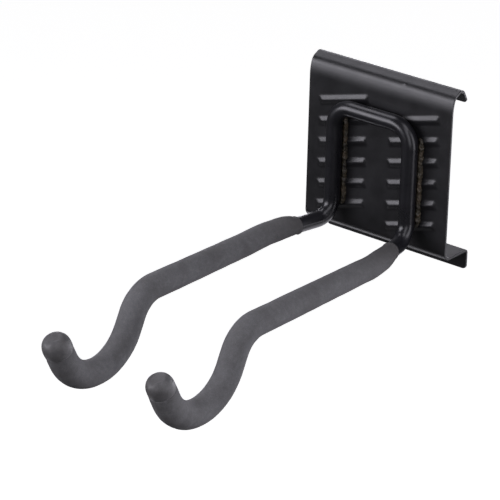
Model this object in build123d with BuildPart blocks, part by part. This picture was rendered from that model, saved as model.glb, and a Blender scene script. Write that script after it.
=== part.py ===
"""Slat-rail bicycle rack: formed back plate, one bent round bar, two padded arms.

Millimetres. +X runs along the plate, +Y into the wall, +Z up. The origin is the
middle of the plate's flat back face, which bears on the wall rail.
"""

import os
from math import cos, radians, sin

from build123d import *

os.makedirs("parts", exist_ok=True)

# ---- back plate: one bent sheet, its section given at the sheet's middle ----
PLATE_W = 101.5
SHEET = 1.5
FLAT_TOP = 42.0  # the flat back runs this far above and below the origin
LEAN_R = 25.0  # large bend that leans the top back
LEAN_CORNER = FLAT_TOP + 4.76
CREASE = (0.9, 53.3)
APEX = (8.2, 56.8)
FLANGE_END = (13.1, 48.0)
SHELF_Z = -45.15
LIP_Y = 21.0
LIP_END = -57.0
SHEET_BENDS = (LEAN_R, 6.2, 3.3)  # lean, crease, apex
SHELF_BENDS = (1.8, 4.6)  # lip, shelf
CORNER_R = 2.2  # rounded free corners of the lip and the hook flange

# ---- embossed ribs ----
RIB_L = 36.0
RIB_W = 5.4
RIB_H = 1.0
RIDGE_L = 32.6
RIDGE_W = 0.6
RIB_SLANT = 15.0
RIB_ROWS = 6
RIB_PITCH = 12.93
RIB_COLUMNS = (-25.2, 25.2)
RIB_MID_Z = 1.9

# ---- bent round bar ----
BAR_D = 9.5
LEG_X = 27.0
LEG_TOP = 32.1
ARM_Z = -36.5
U_BEND_R = 12.0
FOOT_R = 11.0
SPLAY = 11.0  # each arm leaves the plate this many degrees outward
SPLAY_RUN = 49.1
EASE_R = 22.0  # bend that turns the arm straight again
ARM_RUN = 110.2
DROP_R = 20.0
DROP = 64.0  # degrees below level
DROP_RUN = 79.0
CRADLE_R = 29.0
TIP_RISE = 63.0  # degrees above level
TIP_RUN = 69.5

# ---- foam sleeves and end caps ----
SLEEVE_START = {"left": 26.2, "right": 19.4}  # bare bar left next to each leg
SLEEVE_R_START = 5.6
SLEEVE_R_MIDDLE = 7.2
SLEEVE_R_END = 7.9
CAP_R = 8.15
CAP_H = 8.7
CAP_SOCKET = 4.0
CAP_DOME = 3.6
CAP_HEEL = 0.5

# ---- weld beads on both sides of each leg ----
BEAD_H = 55.0
BEAD_MID_Z = -2.5
BEAD_IN = 2.6
BEAD_OUT = 6.8
BEAD_RISE = 4.6

FRONT_Y = -SHEET
BAR_Y = FRONT_Y - RIB_H - BAR_D / 2
SIDES = {"left": -1, "right": 1}


def forward(run, angle=0.0, rise=0.0):
    """Step of length run towards the bicycle, turned outward and upward."""
    out, up = radians(angle), radians(rise)
    return Vector(sin(out) * cos(up), -cos(out) * cos(up), sin(up)) * run


def bar_corners():
    """Corners of the right half of the bar, from its middle to its tip."""
    points = [Vector(0, BAR_Y, LEG_TOP)]
    points.append(Vector(LEG_X, BAR_Y, LEG_TOP))
    points.append(Vector(LEG_X, BAR_Y, ARM_Z))
    points.append(points[-1] + forward(SPLAY_RUN, SPLAY))
    points.append(points[-1] + forward(ARM_RUN))
    points.append(points[-1] + forward(DROP_RUN, rise=-DROP))
    points.append(points[-1] + forward(TIP_RUN, rise=TIP_RISE))
    return points


CORNERS = bar_corners()
BAR_BENDS = (U_BEND_R, FOOT_R, EASE_R, DROP_R, CRADLE_R)
SLEEVE_END = CORNERS[-1] - forward(CAP_SOCKET, rise=TIP_RISE)


def rib_places(y):
    """Where the ribs sit on a face at depth y."""
    rows = [RIB_MID_Z + (row - (RIB_ROWS - 1) / 2) * RIB_PITCH for row in range(RIB_ROWS)]
    return [Pos(x, y, z) * Rot(0, -RIB_SLANT, 0) for x in RIB_COLUMNS for z in rows]


def save(builder, name):
    builder.part.label = name
    export_step(builder.part, f"parts/{name}.step")


# ---- rib and plate ----
with BuildPart() as rib:
    with BuildSketch(Plane.XZ):
        Rectangle(RIB_L, RIB_W)
    with BuildSketch(Plane.XZ.offset(RIB_H)):
        Rectangle(RIDGE_L, RIDGE_W)
    loft()

with BuildPart() as back_plate:
    with BuildSketch(Plane.YZ):
        with BuildLine():
            FilletPolyline(
                (LIP_Y, LIP_END),
                (LIP_Y, SHELF_Z),
                (-SHEET / 2, SHELF_Z),
                (-SHEET / 2, LEAN_CORNER),
                CREASE,
                APEX,
                FLANGE_END,
                radius=SHELF_BENDS + SHEET_BENDS,
            )
        trace(line_width=SHEET)
    extrude(amount=PLATE_W / 2, both=True)
    lip_corners = back_plate.edges().filter_by(Axis.Y).group_by(Axis.Z)[0]
    fillet(lip_corners, CORNER_R)
    flange_corners = back_plate.edges().filter_by(lambda edge: abs(edge.length - SHEET) < 0.01)
    fillet(flange_corners.sort_by_distance((0, *FLANGE_END))[:2], CORNER_R)
    with Locations(*rib_places(FRONT_Y)):
        add(rib.part)
    with Locations(*rib_places(0)):
        add(rib.part, mode=Mode.SUBTRACT)
save(back_plate, "back_plate")


# ---- hook bar: half of it swept, then mirrored ----
with BuildPart() as hook_bar:
    with BuildLine() as bar_line:
        FilletPolyline(*CORNERS, radius=BAR_BENDS)
    with BuildSketch(Plane(CORNERS[0], x_dir=(0, 0, 1), z_dir=(1, 0, 0))):
        Circle(BAR_D / 2)
    sweep(path=bar_line.line)
    tip_edge = hook_bar.edges().filter_by(GeomType.CIRCLE).sort_by(Axis.Y)[0]
    chamfer(tip_edge, 0.8)
    mirror(about=Plane.YZ)
save(hook_bar, "hook_bar")


# ---- sleeves ----
def sleeve(side):
    """Foam tube over one arm, growing from the bare bar to the end cap."""
    start = CORNERS[2] + forward(SLEEVE_START[side], SPLAY)
    points = [start] + CORNERS[3:6] + [SLEEVE_END]
    middle = (CORNERS[3] + CORNERS[4]) / 2
    with BuildPart() as tube:
        with BuildLine() as sleeve_line:
            FilletPolyline(*points, radius=BAR_BENDS[2:])
        with BuildSketch(Plane(start, x_dir=(0, 0, 1), z_dir=forward(1, SPLAY))):
            Circle(SLEEVE_R_START)
        with BuildSketch(Plane(middle, x_dir=(0, 0, 1), z_dir=forward(1))):
            Circle(SLEEVE_R_MIDDLE)
        with BuildSketch(Plane(SLEEVE_END, x_dir=(1, 0, 0), z_dir=forward(1, rise=TIP_RISE))):
            Circle(SLEEVE_R_END)
        sweep(path=sleeve_line.line, multisection=True)
        if side == "left":
            mirror(about=Plane.YZ, mode=Mode.REPLACE)
        add(hook_bar.part, mode=Mode.SUBTRACT)
    return tube


# ---- end caps ----
def end_cap(side):
    """Pushed-on cap that closes a sleeve and covers the bar's end."""
    with BuildPart() as cap:
        with BuildSketch(Plane(SLEEVE_END, x_dir=(1, 0, 0), z_dir=forward(1, rise=TIP_RISE))):
            Circle(CAP_R)
        extrude(amount=CAP_H)
        rims = cap.edges().filter_by(GeomType.CIRCLE).sort_by(Axis.Z)
        fillet(rims[-1], CAP_DOME)
        chamfer(rims[0], CAP_HEEL, 3 * CAP_HEEL)
        if side == "left":
            mirror(about=Plane.YZ, mode=Mode.REPLACE)
        add(hook_bar.part, mode=Mode.SUBTRACT)
    return cap


# ---- weld beads ----
def weld_bead(leg, flank):
    """Fillet weld in the corner between a leg and the plate."""
    with BuildPart() as bead:
        with BuildSketch(Plane.XY.offset(BEAD_MID_Z - BEAD_H / 2)):
            with BuildLine():
                Polyline(
                    (leg * LEG_X + flank * BEAD_IN, FRONT_Y),
                    (leg * LEG_X + flank * BEAD_OUT, FRONT_Y),
                    (leg * LEG_X + flank * BAR_D / 2, FRONT_Y - BEAD_RISE),
                    (leg * LEG_X + flank * BEAD_IN, FRONT_Y - BEAD_RISE),
                    close=True,
                )
            make_face()
        extrude(amount=BEAD_H)
        add(hook_bar.part, mode=Mode.SUBTRACT)
        add(back_plate.part, mode=Mode.SUBTRACT)
    return bead


for side, sign in SIDES.items():
    save(sleeve(side), f"{side}_sleeve")
    save(end_cap(side), f"{side}_end_cap")
    save(weld_bead(sign, sign), f"{side}_weld_outer")
    save(weld_bead(sign, -sign), f"{side}_weld_inner")
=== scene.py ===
"""Detailed look of the slat-rail bicycle rack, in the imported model's own frame: +X along
the plate, +Y into the wall, +Z up, origin on the plate's flat back. Shapes are worked out
in millimetres and become Blender's metres in make()."""
import math
import random

import bpy
import numpy as np
from mathutils import Matrix, Quaternion, Vector, noise


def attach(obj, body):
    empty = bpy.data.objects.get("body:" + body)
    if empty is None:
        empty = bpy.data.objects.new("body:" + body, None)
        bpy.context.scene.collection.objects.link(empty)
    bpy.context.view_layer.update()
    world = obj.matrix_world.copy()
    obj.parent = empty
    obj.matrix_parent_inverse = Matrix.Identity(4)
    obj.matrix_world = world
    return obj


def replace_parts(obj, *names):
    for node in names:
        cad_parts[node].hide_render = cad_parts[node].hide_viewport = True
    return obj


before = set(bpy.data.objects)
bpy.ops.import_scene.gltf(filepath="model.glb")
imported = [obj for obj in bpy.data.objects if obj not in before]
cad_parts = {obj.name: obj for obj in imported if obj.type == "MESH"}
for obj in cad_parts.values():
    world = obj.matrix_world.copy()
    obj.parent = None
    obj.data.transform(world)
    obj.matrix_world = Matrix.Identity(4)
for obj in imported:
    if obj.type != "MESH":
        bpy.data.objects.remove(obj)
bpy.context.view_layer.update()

SCENE = bpy.context.scene
MM = 0.001

# Sizes in millimetres, as in the CAD model.
PLATE_W, SHEET = 101.5, 1.5
SECTION = (
    (21.0, -57.0),
    (21.0, -45.15),
    (-0.75, -45.15),
    (-0.75, 46.76),
    (0.9, 53.3),
    (8.2, 56.8),
    (13.1, 48.0),
)
SECTION_BENDS = (1.8, 4.6, 25.0, 6.2, 3.3)
CORNER_R = 2.2
RIB_L, RIB_W, RIB_H, RIDGE_L, RIDGE_W = 36.0, 5.4, 1.0, 32.6, 0.6
RIB_SLANT = 15.0
RIB_COLUMNS, RIB_COUNT, RIB_PITCH, RIB_MID_Z = (-25.2, 25.2), 6, 12.93, 1.9
BAR_R, LEG_X, ARM_Z = 4.75, 27.0, -36.5
BAR_Y = -(SHEET + RIB_H + BAR_R)
SPLAY, SPLAY_RUN, ARM_RUN = 11.0, 49.1, 110.2
DROP, DROP_RUN, TIP_RISE, TIP_RUN = 64.0, 79.0, 63.0, 69.5
ARM_BENDS = (22.0, 20.0, 29.0)
CAP_SOCKET = 4.0
SLEEVE_START = {"left": 26.2, "right": 19.4}
SIDES = {"left": -1, "right": 1}
BEAD_BOTTOM, BEAD_TOP = -30.0, 25.0


# ---------------------------------------------------------------- paths and meshes
def forward(run, side=1, splay=0.0, rise=0.0):
    """A step of length run away from the wall, turned outward and upward."""
    a, b = math.radians(splay), math.radians(rise)
    return Vector((side * math.sin(a) * math.cos(b), -math.cos(a) * math.cos(b), math.sin(b))) * run


def rounded(points, radii, step, max_turn=5):
    """[(point, direction)] along a polyline with rounded corners, at most step or max_turn degrees apart."""
    points = [Vector(p) for p in points]
    out, here = [], points[0]

    def straight(to, u):
        n = max(1, math.ceil((to - here).length / step))
        out.extend((here.lerp(to, k / n), u) for k in range(n))

    for a, b, c, r in zip(points, points[1:], points[2:], radii):
        u, v = (b - a).normalized(), (c - b).normalized()
        turn, axis = u.angle(v), u.cross(v).normalized()
        start = b - u * r * math.tan(turn / 2)
        straight(start, u)
        centre = start + axis.cross(u) * r
        n = max(math.ceil(math.degrees(turn) / max_turn), math.ceil(turn * r / step))
        for k in range(n):
            m = Matrix.Rotation(turn * k / n, 3, axis)
            out.append((centre + m @ (start - centre), m @ u))
        here = b + v * r * math.tan(turn / 2)
    u = (points[-1] - here).normalized()
    straight(points[-1], u)
    out.append((points[-1], u))
    return out


def grid_faces(rows, cols, close=False, flip=False, start=0):
    """Quads of a grid of rows x cols vertices, which wraps round along its columns if close."""
    faces = []
    for i in range(rows - 1):
        for j in range(cols if close else cols - 1):
            here, there = start + i * cols, start + (i + 1) * cols
            k = (j + 1) % cols
            quad = (here + j, here + k, there + k, there + j)
            faces.append(quad[::-1] if flip else quad)
    return faces


def make(name, verts_mm, faces, material):
    """A smooth-shaded piece from vertices in millimetres."""
    me = bpy.data.meshes.new(name)
    me.from_pydata([tuple(c * MM for c in v) for v in verts_mm], [], faces)
    me.validate()
    me.update()
    me.shade_smooth()
    me.materials.append(material)
    ob = bpy.data.objects.new(name, me)
    SCENE.collection.objects.link(ob)
    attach(ob, "root")
    return ob


def bevelled(ob, width, sharp_angle=50):
    """Rounds the piece's sharp edges by width millimetres."""
    mod = ob.modifiers.new("soft_edges", "BEVEL")
    mod.width, mod.segments = width * MM, 2
    mod.limit_method, mod.angle_limit = "ANGLE", math.radians(sharp_angle)
    mod.harden_normals = True
    return ob


def tube(path, radius, sides, reach=6):
    """Rings of vertices round a path. radius(length so far, outward, place) is in millimetres,
    its place lying reach millimetres out from the path."""
    last, first_along = path[0]
    side = first_along.cross(Vector((0, 0, 1))).normalized()
    verts, length = [], 0.0
    for point, along in path:
        length += (point - last).length
        last = point
        side = (side - side.dot(along) * along).normalized()
        up = side.cross(along)
        for k in range(sides):
            a = 2 * math.pi * k / sides
            d = up * math.cos(a) + side * math.sin(a)
            verts.append(point + d * radius(length, d, point + d * reach))
    return verts


def between(table, s):
    """The value at s in a table of (length, value), linear between its entries."""
    for (s0, v0), (s1, v1) in zip(table, table[1:]):
        if s <= s1:
            f = min(1, max(0, (s - s0) / (s1 - s0)))
            return v0 + (v1 - v0) * f
    return table[-1][1]


# ---------------------------------------------------------------- node helpers
class Nodes:
    """Small helper that builds a material's node tree."""

    def __init__(self, name, color, rough, **sockets):
        self.mat = bpy.data.materials.new(name)
        self.mat.use_nodes = True
        self.tree = self.mat.node_tree
        self.bsdf = self.tree.nodes["Principled BSDF"]
        self.bsdf.inputs["Base Color"].default_value = (*color, 1)
        self.bsdf.inputs["Roughness"].default_value = rough
        for k, v in sockets.items():
            self.bsdf.inputs[k.replace("_", " ")].default_value = v
        self.coords = self.tree.nodes.new("ShaderNodeTexCoord").outputs["Object"]

    def add(self, kind, inputs=(), **props):
        node = self.tree.nodes.new("ShaderNode" + kind)
        for k, v in props.items():
            setattr(node, k, v)
        for k, v in dict(inputs).items():
            if isinstance(v, bpy.types.NodeSocket):
                self.tree.links.new(v, node.inputs[k])
            else:
                node.inputs[k].default_value = v
        return node

    def noise(self, size_mm, detail=3.0, rough=0.55, distort=0.0):
        """Noise whose coarsest features are about size_mm across."""
        inputs = {"Vector": self.coords, "Scale": 1 / (size_mm * MM), "Detail": detail}
        inputs |= {"Roughness": rough, "Distortion": distort}
        return self.add("TexNoise", inputs).outputs["Fac"]

    def ramp(self, fac, stops):
        """Linear ramp through (position, grey or colour) stops."""
        n = self.add("ValToRGB", {"Fac": fac})
        e = n.color_ramp.elements
        while len(e) < len(stops):
            e.new(0.5)
        for k, (pos, col) in enumerate(stops):
            e[k].position = pos
            e[k].color = (*col, 1) if isinstance(col, tuple) else (col, col, col, 1)
        return n.outputs["Color"]

    def mix(self, fac, a, b):
        """Colour a where fac is 0 and b where it is 1."""
        n = self.add("Mix", data_type="RGBA", blend_type="MIX")
        for k, v in ((0, fac), (6, a), (7, b)):
            if isinstance(v, bpy.types.NodeSocket):
                self.tree.links.new(v, n.inputs[k])
            else:
                n.inputs[k].default_value = v if k == 0 else (*v, 1)
        return n.outputs[2]

    def math(self, op, a, b=0.0, c=0.0, clamp=False):
        n = self.add("Math", {0: a, 1: b, 2: c}, operation=op, use_clamp=clamp)
        return n.outputs[0]

    def link(self, socket, name):
        self.tree.links.new(socket, self.bsdf.inputs[name])

    def bump(self, layers):
        """layers of (height socket, depth in mm), the last on top."""
        normal = None
        for height, depth in layers:
            n = self.add("Bump", {"Height": height, "Distance": depth * MM, "Strength": 1.0})
            if normal:
                self.tree.links.new(normal, n.inputs["Normal"])
            normal = n.outputs["Normal"]
        self.link(normal, "Normal")


# ---------------------------------------------------------------- materials
def scaled(color, factor):
    return tuple(c * factor for c in color)


def coat(name, color, rough, peel):
    """Powder coat with soft patches of tone and gloss, and an orange peel of depth peel."""
    m = Nodes(name, color, rough)
    fine, wide = m.noise(0.9, 2), m.noise(14, 4)
    m.link(m.ramp(wide, ((0.3, scaled(color, 0.8)), (0.7, scaled(color, 1.25)))), "Base Color")
    patches = m.math("ADD", m.math("MULTIPLY", fine, 0.3), m.math("MULTIPLY", wide, 0.7))
    m.link(m.ramp(patches, ((0.3, rough * 0.85), (0.7, rough * 1.2))), "Roughness")
    m.bump(((fine, peel), (m.noise(4, 2), peel * 2)))
    return m.mat


def foam(name, color, rough, grime):
    """Matte closed-cell rubber: fine grain, soft mottling, patches of grime, painted shade next to
    the plate, and a darker, browner tone in patches towards the tips."""
    m = Nodes(name, color, rough)
    grain, mottle, wide = m.noise(0.55, 4, 0.75), m.noise(2.6, 5, 0.7), m.noise(17, 4, 0.6, distort=0.4)
    tone = m.math("ADD", m.math("MULTIPLY", grain, 0.5), m.math("MULTIPLY", mottle, 0.5))
    base = m.ramp(tone, ((0.30, scaled(color, 0.62)), (0.52, color), (0.72, scaled(color, 1.5))))
    worn = m.ramp(wide, ((0.40, 0.0), (0.68, grime)))
    depth = m.add("SeparateXYZ", {"Vector": m.coords}).outputs["Y"]
    # Painted shade: the foam darkens towards the plate, most within about 30 mm of it and not at all past
    # about 110 mm.
    painted_plate_shade = m.ramp(m.math("MULTIPLY", depth, -5.0), ((0.14, 0.75), (0.34, 0.2), (0.55, 0.0)))
    at_tip = m.ramp(m.math("MULTIPLY_ADD", depth, -25.0, -4.95), ((0.05, 0.0), (0.9, 0.6)))
    tip = m.math("MULTIPLY", at_tip, m.ramp(m.noise(9, 3), ((0.35, 0.25), (0.62, 1.0))))
    # Mixes the painted shade near the plate, the tips' darker tone and the grime patches into the darker
    # colour.
    shade_and_grime = m.math("MAXIMUM", painted_plate_shade, m.math("MAXIMUM", tip, worn), clamp=True)
    dark = (color[0] * 0.36, color[1] * 0.33, color[2] * 0.31)
    m.link(m.mix(shade_and_grime, base, dark), "Base Color")
    m.link(m.ramp(mottle, ((0.3, rough * 0.9), (0.7, min(1, rough * 1.08)))), "Roughness")
    m.bump(((mottle, 0.10), (grain, 0.07)))
    return m.mat


def weld_metal():
    """Bare, heat-stained bead: olive and brown scale with pale spatter."""
    m = Nodes("weld_bead", (0.03, 0.026, 0.018), 0.5)
    fine, patch = m.noise(0.8, 4, 0.7), m.noise(5, 4, 0.6)
    soot, olive = (0.016, 0.013, 0.010), (0.045, 0.037, 0.022)
    brown, pale = (0.085, 0.062, 0.040), (0.26, 0.23, 0.18)
    scale = m.ramp(patch, ((0.35, soot), (0.5, olive), (0.66, brown)))
    m.link(m.mix(m.ramp(fine, ((0.60, 0.0), (0.70, 0.9))), scale, pale), "Base Color")
    m.link(m.ramp(fine, ((0.3, 0.35), (0.7, 0.7))), "Roughness")
    m.bump(((patch, 0.10), (fine, 0.12)))
    return m.mat


PLATE_COAT = coat("plate_coat", (0.0085, 0.0085, 0.0095), 0.35, 0.004)
BAR_COAT = coat("bar_coat", (0.008, 0.008, 0.010), 0.29, 0.0012)
FOAM = foam("sleeve_foam", (0.122, 0.122, 0.125), 0.85, 0.35)
CAP = foam("cap_rubber", (0.115, 0.115, 0.117), 0.5, 0.45)
WELD = weld_metal()


# ---------------------------------------------------------------- plate
RIB_CRISPNESS, RIB_LIFT = 6, 0.04
UPRIGHT = 0.999  # ribs lie only where the sheet runs this nearly straight up
RIB_FLOOR = -44  # no rib reaches below this height
RIB_DEPTH = 5  # nor lies deeper than this, which leaves out the lip
NICK_X, NICK_Z = 15.8, 53.2  # a small raised nick on the crease at the top
NICK_FLOOR, NICK_DEPTH = 51, 4
NICK_W, NICK_H, NICK_RISE = 0.7, 0.8, 0.45
PLATE_STEP, PLATE_COLS = 0.42, 127
PLATE_BEVEL = 0.22


def rib_height(x, z):
    """Height of the embossed ribs at x, z, with softly rounded feet, ridges and hips."""
    slant = math.radians(RIB_SLANT)
    rows = [RIB_MID_Z + (k - (RIB_COUNT - 1) / 2) * RIB_PITCH for k in range(RIB_COUNT)]
    height = np.zeros_like(x)
    for xc in RIB_COLUMNS:
        for zc in rows:
            a = (x - xc) * math.cos(slant) + (z - zc) * math.sin(slant)
            b = -(x - xc) * math.sin(slant) + (z - zc) * math.cos(slant)
            across = (RIB_W / 2 - np.abs(b)) / ((RIB_W - RIDGE_W) / 2)
            along = (RIB_L / 2 - np.abs(a)) / ((RIB_L - RIDGE_L) / 2)
            crisp = RIB_CRISPNESS
            t = -np.logaddexp(-crisp * across, -crisp * along) / crisp + RIB_LIFT
            crisp *= 2
            height += RIB_H * (np.logaddexp(0, crisp * t) - np.logaddexp(0, crisp * (t - 1))) / crisp
    return height


def pushed_out(x, point, along):
    """How far the sheet stands out at the places x of the row at point: the ribs and one small nick."""
    height = np.zeros_like(x)
    if along.z > UPRIGHT and point.y < RIB_DEPTH and point.z > RIB_FLOOR:
        height = rib_height(x, np.full_like(x, point.z))
    if point.z > NICK_FLOOR and point.y < NICK_DEPTH:
        across, up = (x - NICK_X) / NICK_W, (point.z - NICK_Z) / NICK_H
        height = height + NICK_RISE * np.exp(-across ** 2 - up ** 2)
    return height


def corner_inset(edge):
    """How far the sheet's side draws in at this distance from its free edge."""
    if edge >= CORNER_R:
        return 0
    return CORNER_R - math.sqrt(max(0, CORNER_R ** 2 - (CORNER_R - edge) ** 2))


def plate():
    """The formed sheet as rows of points across its section, on its front and on its back."""
    line = rounded([(0, y, z) for y, z in SECTION], SECTION_BENDS, PLATE_STEP)
    columns = np.linspace(-1, 1, PLATE_COLS)
    lengths = [0.0]
    for (a, _), (b, _) in zip(line, line[1:]):
        lengths.append(lengths[-1] + (b - a).length)
    front, back = [], []
    for (p, t), s in zip(line, lengths):
        x = columns * (PLATE_W / 2 - corner_inset(min(s, lengths[-1] - s)))
        n = Vector((0, -t.z, t.y))
        for xx, h in zip(x, pushed_out(x, p, t)):
            front.append((xx, p.y + n.y * (SHEET / 2 + h), p.z + n.z * (SHEET / 2 + h)))
            back.append((xx, p.y - n.y * (SHEET / 2 - h), p.z - n.z * (SHEET / 2 - h)))
    rows, cols = len(line), len(columns)
    behind = rows * cols
    faces = grid_faces(rows, cols) + grid_faces(rows, cols, flip=True, start=behind)

    def rim(a, b, flip):
        quad = (a, b, b + behind, a + behind)
        faces.append(quad[::-1] if flip else quad)

    for i in range(rows - 1):
        rim(i * cols, (i + 1) * cols, False)
        rim((i + 1) * cols - 1, (i + 2) * cols - 1, True)
    last_row = (rows - 1) * cols
    for j in range(cols - 1):
        rim(j, j + 1, True)
        rim(last_row + j, last_row + j + 1, False)
    ob = make("formed_plate", front + back, faces, PLATE_COAT)
    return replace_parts(bevelled(ob, PLATE_BEVEL), "back_plate")


plate()


# ---------------------------------------------------------------- sleeves and caps
# The foam's radius: (length from the sleeve's start, millimetres). The start has a thin cuff.
RADII = {
    "left": (
        (0, 5.15),
        (0.5, 5.5),
        (1.2, 5.55),
        (2.0, 5.25),
        (2.9, 5.5),
        (5, 5.9),
        (9, 6.35),
        (14, 6.6),
        (30, 6.85),
        (70, 7.1),
        (120, 7.4),
        (170, 7.65),
        (210, 7.75),
    ),
    "right": (
        (0, 5.0),
        (0.5, 5.35),
        (1.2, 5.4),
        (2.0, 5.15),
        (3.2, 5.4),
        (7, 5.9),
        (12, 6.4),
        (20, 6.6),
        (50, 6.9),
        (90, 7.15),
        (150, 7.5),
        (200, 7.75),
    ),
}
# The foam bulges outward round the cradle, up to the cap: (length back from its end, millimetres).
BULGE = ((0, 0.6), (3, 0.9), (15, 1.1), (28, 0.75), (42, 0.0))
BULGE_SHARE = {"left": 1.0, "right": 0.65}
BULGE_WAY = Vector((0, -0.75, -0.66))
# Soft swellings and hollows: (place along the sleeve, reach, push along x, y, z).
DENTS = {
    "left": ((9, 9, (0, 0, 1.1)), (26, 12, (0, 0, 0.5)), (150, 18, (0, -0.2, 0.4))),
    "right": (
        (10, 8, (0, 0, -0.9)),
        (22, 8, (0.3, 0, -0.4)),
        (195, 14, (0, -0.35, -0.35)),
        (150, 18, (0, -0.2, 0.4)),
    ),
}
DENT_FADE = 3  # dents grow over this length from the sleeve's start
SLEEVE_STEP, SLEEVE_SIDES = 0.9, 56
# Rings that close a sleeve onto the bar at its start and under the cap: (radius, step along).
CUFF_RINGS = ((4.78, 1.2), (4.85, 0.1), (5.05, -0.12), (5.25, -0.1))
TAIL_RINGS = ((7.2, 0.5), (4.8, 0.5))

CAP_R, CAP_H = {"left": 8.3, "right": 7.9}, {"left": 11.1, "right": 10.4}
CAP_SKEW = {"left": 0.5, "right": 0.25}
CAP_SKIRT, CAP_CROWN = 2.2, 2.9
CAP_FOOT = ((-0.1, 0.9), (-0.05, 0.5), (0.15, 0.22), (0.5, 0.06), (1.2, 0), (CAP_SKIRT, 0))  # (height, inset)
CAP_SIDES, DOME_STEPS = 72, 30
# The fold pressed into a cap's face: its middle, the way it runs, its half sizes and its rise.
FOLD_MIDDLE, FOLD_WAY = (3.1, -2.5), (0.6, 0.8)
FOLD_L, FOLD_W, FOLD_RISE = 3.4, 1.1, 0.85


def arm_points(side):
    """Corners of the sleeve's path, from next to the leg to the cap's base."""
    sign = SIDES[side]
    foot = Vector((sign * LEG_X, BAR_Y, ARM_Z))
    points = [foot + forward(SLEEVE_START[side], sign, SPLAY)]
    points.append(foot + forward(SPLAY_RUN, sign, SPLAY))
    points.append(points[-1] + forward(ARM_RUN))
    points.append(points[-1] + forward(DROP_RUN, rise=-DROP))
    points.append(points[-1] + forward(TIP_RUN - CAP_SOCKET, rise=TIP_RISE))
    return points


def closing_rings(end, ring, shape):
    """Copies of a ring round the end (point, direction) of a path, resized and moved along it."""
    point, along = end
    return [point + (v - point).normalized() * r + along * d for r, d in shape for v in ring]


def sleeve(side):
    """Foam tube, a little lumpy, swollen round its cradle."""
    path = rounded(arm_points(side), ARM_BENDS, SLEEVE_STEP)
    full = sum((b[0] - a[0]).length for a, b in zip(path, path[1:]))
    seed = Vector((0, 40 * SIDES[side], 0))

    def radius(s, d, where):
        lump = noise.noise(where * 0.09 + seed) * 0.12 + noise.noise(where * 0.35 + seed) * 0.05
        out = between(BULGE, full - s) * BULGE_SHARE[side] * max(0, d.dot(BULGE_WAY))
        for place, reach, push in DENTS[side]:
            out += math.exp(-((s - place) / reach) ** 2) * d.dot(Vector(push)) * min(1, s / DENT_FADE)
        return between(RADII[side], s) + lump + out

    verts = tube(path, radius, SLEEVE_SIDES)
    cuff = closing_rings(path[0], verts[:SLEEVE_SIDES], CUFF_RINGS)
    tail = closing_rings(path[-1], verts[-SLEEVE_SIDES:], TAIL_RINGS)
    verts = cuff + verts + tail
    faces = grid_faces(len(verts) // SLEEVE_SIDES, SLEEVE_SIDES, close=True)
    ob = make(f"{side}_foam_sleeve", verts, faces, FOAM)
    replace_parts(ob, f"{side}_sleeve")
    return ob


def cap_profile(r0, h0):
    """[(height, radius)] of a cap: a rounded foot, a short skirt and a full dome."""
    profile = [(d, r0 - inset) for d, inset in CAP_FOOT]
    for k in range(1, DOME_STEPS + 1):
        a = math.pi / 2 * k / DOME_STEPS
        r = r0 * math.cos(a) ** 0.56 if k < DOME_STEPS else 0.0
        profile.append((CAP_SKIRT + (h0 - CAP_CROWN) * math.sin(a) ** 0.85, r))
    return profile


def fold_height(x, y):
    """Height of the fold at x, y across a cap's face."""
    x, y = x - FOLD_MIDDLE[0], y - FOLD_MIDDLE[1]
    along = x * FOLD_WAY[0] + y * FOLD_WAY[1]
    across = y * FOLD_WAY[0] - x * FOLD_WAY[1]
    return FOLD_RISE * math.exp(-(along / FOLD_L) ** 2 - (across / FOLD_W) ** 2)


def cap(side):
    """Moulded cap: a short skirt, a full rounded dome and a low pinched fold in its face."""
    axis = forward(1, rise=TIP_RISE)
    base = arm_points(side)[-1] + BULGE_WAY * CAP_SKEW[side]
    u = Vector((1, 0, 0))
    v = axis.cross(u)
    seed = Vector((3, 11 * SIDES[side], 5))
    profile, verts = cap_profile(CAP_R[side], CAP_H[side]), []
    for d, r in profile:
        for k in range(CAP_SIDES):
            a = 2 * math.pi * k / CAP_SIDES
            w = u * math.cos(a) + v * math.sin(a)
            p = base + axis * d + w * r
            lump = w * noise.noise(p * 0.25 + seed) * 0.06
            verts.append(p + lump + axis * fold_height(r * math.cos(a), r * math.sin(a)))
    faces = grid_faces(len(profile), CAP_SIDES, close=True)
    ob = make(f"{side}_moulded_cap", verts, faces, CAP)
    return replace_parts(ob, f"{side}_end_cap")


for side in SIDES:
    sleeve(side)
    cap(side)


# ---------------------------------------------------------------- welds
BEAD_STEP, BEAD_COLS = 0.4, 13
RIPPLE_PITCH = (1.7, 2.6)
RIPPLE_SWELL = (-0.25, 0.35)
RIPPLE_LAG = 1.1  # how far each ripple's middle trails its sides
BEAD_END = 2.5  # the bead swells to full size over this length
BEAD_ROOT = BAR_R * 0.86
BEAD_BACK = BAR_R * 0.55


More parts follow.
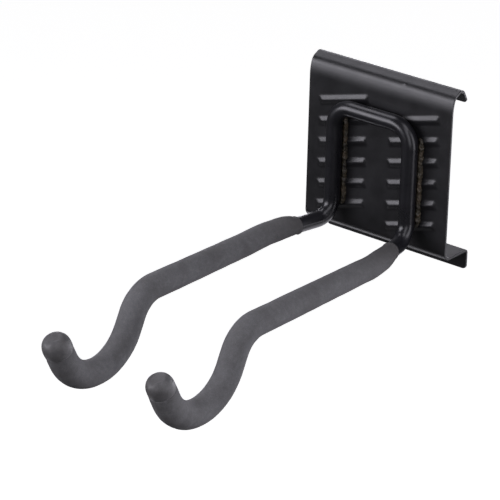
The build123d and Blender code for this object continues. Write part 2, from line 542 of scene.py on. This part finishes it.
def weld(leg, flank, name, node):
    """Rippled fillet bead in the corner between a leg and the plate."""
    rng = random.Random(17 + leg * 3 + flank)
    rows = int((BEAD_TOP - BEAD_BOTTOM) / BEAD_STEP) + 1
    starts = [BEAD_BOTTOM]
    while starts[-1] < BEAD_TOP:
        starts.append(starts[-1] + rng.uniform(*RIPPLE_PITCH))
    swell = [rng.uniform(*RIPPLE_SWELL) for _ in starts]
    seed = Vector((leg * 9, flank * 5, 2))
    verts = []
    for i in range(rows):
        z = BEAD_BOTTOM + (BEAD_TOP - BEAD_BOTTOM) * i / (rows - 1)
        end = min(1, math.sqrt(max(0, min(z - BEAD_BOTTOM, BEAD_TOP - z)) / BEAD_END) + 0.02)
        for j in range(BEAD_COLS):
            f = j / (BEAD_COLS - 1)
            lag = z + RIPPLE_LAG * (4 * f * (1 - f))
            k = max(n for n, start in enumerate(starts) if start <= lag)
            span = (starts[k + 1] if k + 1 < len(starts) else BEAD_TOP + 2) - starts[k]
            ripple = math.sqrt(max(0, 1 - (2 * (lag - starts[k]) / span - 1) ** 2))
            rough = noise.noise(Vector((f * 2, z * 0.5, 0)) + seed) * 0.35
            out = (1.15 + 0.7 * swell[k] + 0.28 * ripple + rough) * end
            a = math.radians(90 * f)
            x = BEAD_ROOT + out * math.cos(a) * 1.15 * (1 if f < 1 else 0.9)
            y = -SHEET + 0.05 - out * math.sin(a) * 1.55
            verts.append((leg * LEG_X + flank * x, y, z))
        for y in (-SHEET - 1.2, -SHEET + 0.3):
            verts.append((leg * LEG_X + flank * BEAD_BACK, y, z))
    ring = BEAD_COLS + 2
    faces = grid_faces(rows, ring, close=True, flip=flank > 0)
    bottom, top = tuple(range(ring)), tuple(range((rows - 1) * ring, rows * ring))
    faces += [bottom, top[::-1]] if flank > 0 else [bottom[::-1], top]
    ob = make(name, verts, faces, WELD)
    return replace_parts(ob, node)


for side, sign in SIDES.items():
    weld(sign, sign, f"{side}_outer_bead", f"{side}_weld_outer")
    weld(sign, -sign, f"{side}_inner_bead", f"{side}_weld_inner")


# ---------------------------------------------------------------- bar
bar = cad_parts["hook_bar"]
bar.data.materials.clear()
bar.data.materials.append(BAR_COAT)


# ---------------------------------------------------------------- floor and light
FLOOR_HALF, FLOOR_Z = 30, -1.6
FLOOR_GLOW = 0.9
AMBIENT = 0.06
# Soft panels round the rack. They began as a fit to the photograph's light, merged and rounded,
# and most were then changed: (azimuth from the front, elevation, width and height in
# degrees, radiance).
PANELS = {
    "key": (-34, 15, 52, 22, 5.6),
    "key_low": (-36, 0, 40, 10, 1.3),
    "key_high": (-44, 31, 30, 9, 4.0),
    "fill_front": (45, 20, 30, 55, 1.8),
    "side_right": (105, 8, 30, 56, 2.5),
    "top_right": (75, 60, 60, 26, 2.2),
    "top_left": (-96, 60, 54, 20, 2.9),
    "rim_left": (-135, 34, 30, 16, 3.0),
    "rim_low": (-135, 0, 30, 14, 5.5),
    "rim_back": (165, -8, 30, 18, 6.0),
    "low_left": (-100, -54, 44, 14, 2.0),
    "from_below": (165, -50, 90, 26, 1.2),
    "rim_right": (135, -15, 30, 15, 1.7),
}
PANEL_AIM, PANEL_AWAY = Vector((0, -0.08, 0)), 2.0
PANEL_COLOR = (1.0, 0.98, 1.07)


def toward(azimuth, elevation):
    """Direction at an azimuth from the front, to the right, and an elevation, in degrees."""
    a, e = math.radians(azimuth), math.radians(elevation)
    return Vector((math.sin(a) * math.cos(e), -math.cos(a) * math.cos(e), math.sin(e)))


def add_floor():
    """Pale floor that doesn't light the rack."""
    r, z = FLOOR_HALF, FLOOR_Z
    me = bpy.data.meshes.new("floor")
    me.from_pydata([(-r, -r, z), (r, -r, z), (r, r, z), (-r, r, z)], [], [(0, 1, 2, 3)])
    floor = bpy.data.objects.new("floor", me)
    SCENE.collection.objects.link(floor)
    glow = {"Emission_Color": (1, 1, 1, 1), "Emission_Strength": FLOOR_GLOW}
    me.materials.append(Nodes("floor", (0.9, 0.9, 0.9), 1.0, **glow).mat)
    floor.visible_glossy = False
    floor.visible_diffuse = False


def add_world():
    world = bpy.data.worlds.new("world")
    SCENE.world = world
    world.use_nodes = True
    background = world.node_tree.nodes["Background"].inputs
    background["Color"].default_value = (1, 1, 1, 1)
    background["Strength"].default_value = AMBIENT


def add_panel(name, azimuth, elevation, width, height, radiance):
    """Soft rectangular light that the camera doesn't see."""
    d = toward(azimuth, elevation)
    light = bpy.data.lights.new(name, "AREA")
    light.shape = "RECTANGLE"
    light.size = 2 * PANEL_AWAY * math.tan(math.radians(width) / 2) * math.cos(math.radians(elevation))
    light.size_y = 2 * PANEL_AWAY * math.tan(math.radians(height) / 2)
    light.energy = math.pi * light.size * light.size_y * radiance
    light.color = PANEL_COLOR
    ob = bpy.data.objects.new(name, light)
    ob.location = PANEL_AIM + d * PANEL_AWAY
    ob.rotation_mode = "QUATERNION"
    ob.rotation_quaternion = d.to_track_quat("Z", "Y")
    ob.visible_camera = False
    SCENE.collection.objects.link(ob)


add_floor()
add_world()
for name, panel in PANELS.items():
    add_panel(name, *panel)


# ---------------------------------------------------------------- camera
# The camera too was fitted to the photograph, and rounded.
CAMERA_AIM = Vector((-0.0041, -0.0979, -0.0264))
CAMERA_AWAY = 1.675
CAMERA_AZIMUTH, CAMERA_ELEVATION, CAMERA_ROLL = 38.59, 23.40, -1.58
LENS, SHIFT = 216.9, (-0.0277, 0.0103)


def add_camera():
    """A long lens from the front right, a little above, and slightly rolled."""
    back = toward(CAMERA_AZIMUTH, CAMERA_ELEVATION)
    data = bpy.data.cameras.new("camera")
    data.lens, data.sensor_width = LENS, 36
    data.shift_x, data.shift_y = SHIFT
    data.clip_start, data.clip_end = 0.05, 60
    cam = bpy.data.objects.new("camera", data)
    turn = back.to_track_quat("Z", "Y") @ Quaternion((0, 0, 1), -math.radians(CAMERA_ROLL))
    cam.matrix_world = Matrix.LocRotScale(CAMERA_AIM + back * CAMERA_AWAY, turn, None)
    SCENE.collection.objects.link(cam)
    SCENE.camera = cam


add_camera()
SCENE.view_settings.view_transform = "Standard"
SCENE.view_settings.look = "None"
